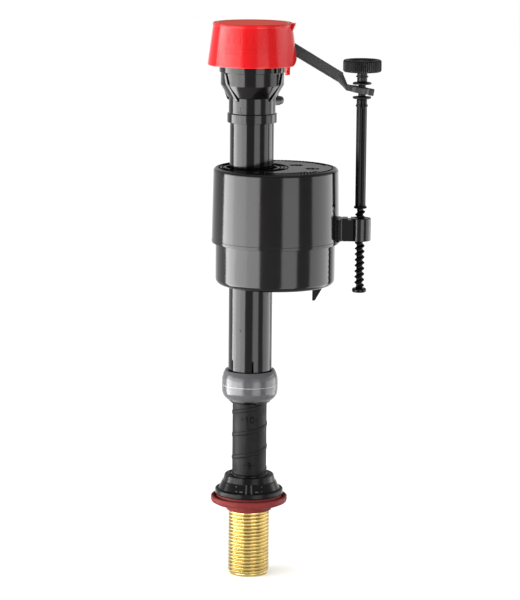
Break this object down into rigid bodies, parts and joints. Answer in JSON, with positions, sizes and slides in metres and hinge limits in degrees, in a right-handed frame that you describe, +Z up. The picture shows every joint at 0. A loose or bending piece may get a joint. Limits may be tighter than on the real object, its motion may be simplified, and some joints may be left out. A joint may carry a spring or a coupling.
{
  "type": "toilet fill valve",
  "caption": "Float-cup toilet fill valve: threaded brass shank with tank washer, screw-adjusted riser, capped diaphragm valve, lever and threaded rod to a cup float.",
  "frame": {"origin": "on the shank axis, in the plane of the tank washer's underside shoulder, which rests on the tank floor", "axes": "+Z up along the shank and riser axis, +X from the riser to the adjusting rod, -Y the front"},
  "size_m": [0.0872, 0.0646, 0.2833],
  "materials": {
    "brass": "machined, bright",
    "gloss_black_plastic": "glossy injection-moulded acetal",
    "satin_black_plastic": "satin injection-moulded acetal",
    "red_plastic": "glossy",
    "grey_plastic": "translucent satin",
    "maroon_rubber": "moulded, matte",
    "black_rubber": "moulded",
    "white_plastic": "natural acetal",
    "steel": "drawn wire"
  },
  "bodies": {
    "shank": {"brass_shank": "brass", "inlet_strainer": "white_plastic", "flow_washer": "black_rubber", "shank_o_ring": "black_rubber", "shank_tube": "satin_black_plastic", "base_flange": "satin_black_plastic", "tank_washer": "maroon_rubber"},
    "lock_ring": {"lock_ring": "grey_plastic"},
    "riser": {"riser_tube": "gloss_black_plastic", "valve_head": "gloss_black_plastic", "refill_nozzle": "gloss_black_plastic", "feed_tube": "white_plastic", "feed_seal": "black_rubber", "valve_seat": "white_plastic"},
    "cap": {"valve_cap": "gloss_black_plastic", "cap_cover": "red_plastic", "diaphragm": "black_rubber", "metering_pin": "steel", "lever_pin": "steel"},
    "diaphragm_core": {"diaphragm_plate": "white_plastic"},
    "lever": {"lever_arm": "satin_black_plastic", "pilot_pad": "black_rubber"},
    "bobbin": {"rod_bobbin": "satin_black_plastic"},
    "rod": {"adjusting_knob": "satin_black_plastic", "adjusting_rod": "satin_black_plastic"},
    "float": {"float_shell": "gloss_black_plastic", "float_base": "gloss_black_plastic", "rod_clamp": "satin_black_plastic"}
  },
  "joints": [
    {"name": "height_slide", "type": "slide", "parent": "shank", "child": "lock_ring", "axis": [0, 0, 1], "range_m": [-0.02937, 0.08224]},
    {"name": "height_twist", "type": "hinge", "parent": "lock_ring", "child": "riser", "pos_m": [0, 0, 0.0614], "axis": [0, 0, 1], "range_deg": [-900, 2520]},
    {"name": "cap_twist", "type": "hinge", "parent": "riser", "child": "cap", "pos_m": [0, 0, 0.2284], "axis": [0, 0, 1], "range_deg": [0, 45]},
    {"name": "float_lift", "type": "slide", "parent": "cap", "child": "bobbin", "axis": [0, 0, 1], "range_m": [0, 0.0055]},
    {"name": "lever_swing", "type": "hinge", "parent": "cap", "child": "lever", "pos_m": [0.012, 0.003, 0.2355], "axis": [0, -1, 0], "range_deg": [0, 6.02]},
    {"name": "diaphragm_slide", "type": "slide", "parent": "cap", "child": "diaphragm_core", "axis": [0, 0, 1], "range_m": [-0.00121, 0], "deforming": ["diaphragm"]},
    {"name": "knob_turn", "type": "hinge", "parent": "bobbin", "child": "rod", "pos_m": [0.055, 0, 0.2125], "axis": [0, 0, 1], "range_deg": [-497, 2856]},
    {"name": "level_adjust", "type": "slide", "parent": "bobbin", "child": "float", "axis": [0, 0, 1], "range_m": [-0.023, 0.004]}
  ],
  "couplings": [
    {"joint": "height_twist", "follows": "height_slide", "rad_per_m": 534.74},
    {"joint": "lever_swing", "follows": "float_lift", "rad_per_m": 19.07},
    {"joint": "diaphragm_slide", "follows": "float_lift", "ratio": -0.21818},
    {"joint": "knob_turn", "follows": "level_adjust", "rad_per_m": -2166.6}
  ]
}
